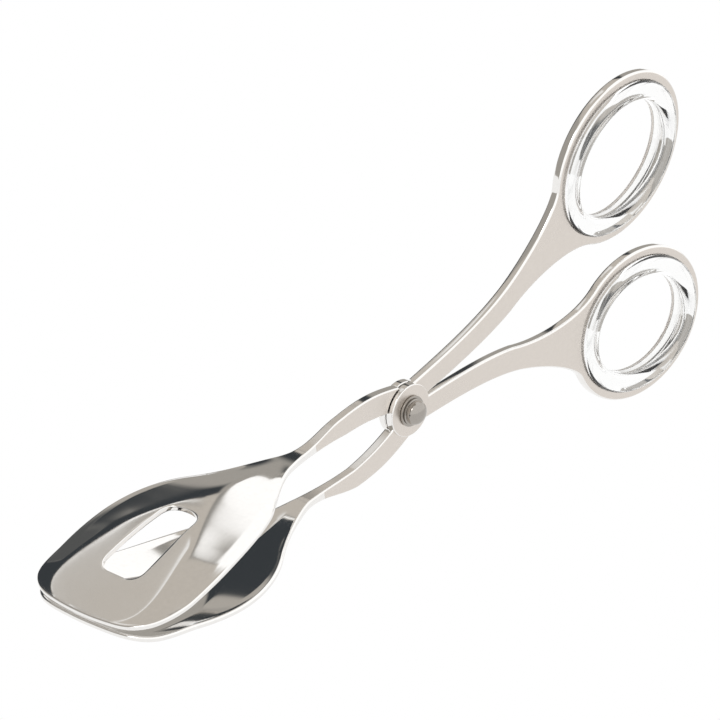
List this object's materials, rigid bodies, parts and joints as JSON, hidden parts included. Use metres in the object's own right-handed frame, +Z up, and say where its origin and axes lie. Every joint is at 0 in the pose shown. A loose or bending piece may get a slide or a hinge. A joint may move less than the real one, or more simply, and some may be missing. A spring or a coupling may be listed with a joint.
{
  "type": "scissor tongs",
  "caption": "Scissor-action steel serving tongs: crossed arms on a pivot, slotted spoon jaws, and finger loops lined with clear acrylic rings.",
  "frame": {"origin": "centre of the standing footprint: bottom centre of the whole object's box, standing on the lower jaw's crown and the lower finger ring", "axes": "+X from the jaws towards the finger rings, +Y along the pivot away from the cap nut, +Z up"},
  "size_m": [0.2448, 0.0468, 0.099],
  "materials": {
    "arm_steel": "polished stainless steel",
    "pivot_steel": "polished stainless steel, slightly darker",
    "clear_acrylic": "clear polished acrylic"
  },
  "bodies": {
    "near_side": {"near_arm": "arm_steel", "near_arm_ring_liner": "clear_acrylic", "pivot_screw": "pivot_steel", "pivot_cap_nut": "pivot_steel", "near_washer": "pivot_steel", "far_washer": "pivot_steel"},
    "far_side": {"far_arm": "arm_steel", "far_arm_ring_liner": "clear_acrylic"}
  },
  "joints": [
    {"name": "pivot_opening", "type": "hinge", "parent": "near_side", "child": "far_side", "pos_m": [-0.00105, 0, 0.02598], "axis": [0, 1, 0], "range_deg": [0, 40]}
  ]
}
